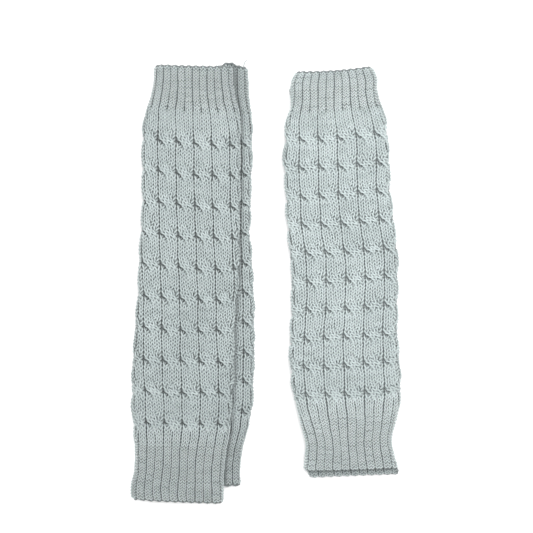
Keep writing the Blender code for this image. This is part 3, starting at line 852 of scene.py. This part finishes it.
def knit(name, leg, yarn, ground):
    tube = makeTube(f"{name}_tube", leg, ground)
    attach(tube, "root")
    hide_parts(*(f"{name}_{part}" for part in ("top_rib", "cabled_leg", "bottom_rib")))
    onIt = []
    for part, (first, last), rows, rowHeight in rowPlaces(leg):
        # a leg's stitches are two pieces, each under the limit of one
        middle = 2 * round((first + last) / 4)
        halves = {"_left": (first, middle), "_right": (middle, last)}
        for side, (start, stop) in (halves if part == "leg" else {"": (first, last)}).items():
            if stop > start:
                lines = courseLines(leg, range(start, stop), rows, rowHeight, part != "leg")
                onIt.append(addTubes(f"{name}_stitches_{part}{side}", lines, yarn, yarnLook["sides"]))
    top, bottom = hems(leg)
    for part, y in (("top_hem", top - hemLook["inset"]), ("bottom_hem", bottom + hemLook["inset"])):
        onIt.append(addTubes(f"{name}_{part}", hemLines(leg, y), yarn, hemLook["sides"], closed=True))
    if name == "left_lower":
        onIt.append(yarnEnd(yarn))
    for piece in onIt:
        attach(piece, "root")
    # the triangles of all pieces of this tube
    count = sum(len(piece.data.loops) - 2 * len(piece.data.polygons) for piece in onIt + [tube])
    print(name, "stitches and tube:", count, "triangles")
    return count


# A loose thread's end at the top of the left lower one

endLook = {
    "path": (
        (-23.0, 214.5, 3.2), (-22.4, 217.6, 5.6), (-21.6, 220.0, 6.6), (-20.2, 222.2, 6.4),
        (-18.2, 223.4, 5.6),
    ),
    "radius": 0.5,
    "pointsPerSpan": 4,
    "sides": 6,
    # share of painted shade on the loose end
    "paintedShade": 0.45,
}


def yarnEnd(yarn):
    # one smooth curve, a polynomial through all points of the path
    path = np.array(endLook["path"])
    spans = len(path) - 1
    at = np.linspace(0, spans, spans * endLook["pointsPerSpan"] + 1)
    centre = np.polyval(np.polyfit(np.arange(len(path)), path, spans), at[:, None])[None] * mm
    outward = np.broadcast_to(np.array([0.0, 0.0, 1.0]), centre.shape)
    even = np.ones(centre.shape[:2])
    lines = (centre, outward, endLook["radius"] * mm * even, 0 * even, endLook["paintedShade"] * even)
    return addTubes("left_lower_yarn_end", lines, yarn, endLook["sides"])


# Camera, lamps and floor. Lamps' places and sizes, and the floor's, are metres.

cameraLook = {"centre": (0.45, 16.2), "height": 1268.5, "lens": 85.0, "seesTo": 20.0}
floorLook = {"size": 3.0, "colour": (0.95, 0.95, 0.95), "roughness": 0.9}
lampLook = {
    "over": {"at": (0.2, 0.45, 1.35), "size": 0.9, "power": 25.0},
    "fill": {"at": (-0.2, -0.6, 1.3), "size": 1.2, "power": 6.0},
}
skyPower = 0.66


def addFloor():
    size = floorLook["size"]
    mesh = bpy.data.meshes.new("floor")
    corners = [(-size, -size, 0), (size, -size, 0), (size, size, 0), (-size, size, 0)]
    mesh.from_pydata(corners, [], [(0, 1, 2, 3)])
    material = bpy.data.materials.new("paleFloor")
    material.use_nodes = True
    shader = material.node_tree.nodes["Principled BSDF"]
    shader.inputs["Base Color"].default_value = (*floorLook["colour"], 1)
    shader.inputs["Roughness"].default_value = floorLook["roughness"]
    mesh.materials.append(material)
    floor = bpy.data.objects.new("floor", mesh)
    bpy.context.scene.collection.objects.link(floor)


def addCameraAndLamps():
    scene = bpy.context.scene
    camera = bpy.data.cameras.new("camera")
    camera.lens = cameraLook["lens"]
    camera.clip_end = cameraLook["seesTo"]
    eye = bpy.data.objects.new("camera", camera)
    eye.location = (cameraLook["centre"][0] * mm, cameraLook["centre"][1] * mm, cameraLook["height"] * mm)
    scene.collection.objects.link(eye)
    scene.camera = eye
    for name, look in lampLook.items():
        lamp = bpy.data.lights.new(name, "AREA")
        lamp.energy, lamp.size = look["power"], look["size"]
        holder = bpy.data.objects.new(name, lamp)
        holder.location = look["at"]
        # tipped and turned to shine at the middle of the floor
        x, y, z = look["at"]
        holder.rotation_euler = (math.atan2(math.hypot(x, y), z), 0, math.atan2(y, x) + 1.5 * math.pi)
        scene.collection.objects.link(holder)
    scene.world = scene.world or bpy.data.worlds.new("sky")
    scene.world.use_nodes = True
    sky = scene.world.node_tree.nodes["Background"]
    sky.inputs[0].default_value = (1, 1, 1, 1)
    sky.inputs[1].default_value = skyPower
    scene.view_settings.view_transform = "Standard"


addCameraAndLamps()
addFloor()
print("camera, lamps and floor are set")
twist = twistGroup()
# one lit copy of each finish for the right pair and one shaded copy for the left
finishes = {side: (yarnMaterial(twist, side), groundMaterial(side)) for side in yarnFinish["paintedLight"]}
print("yarn and ground are mixed")
total = sum(knit(name, leg, *finishes[name.split("_")[0]]) for name, leg in legWarmers.items())
print("all pieces:", total, "triangles")
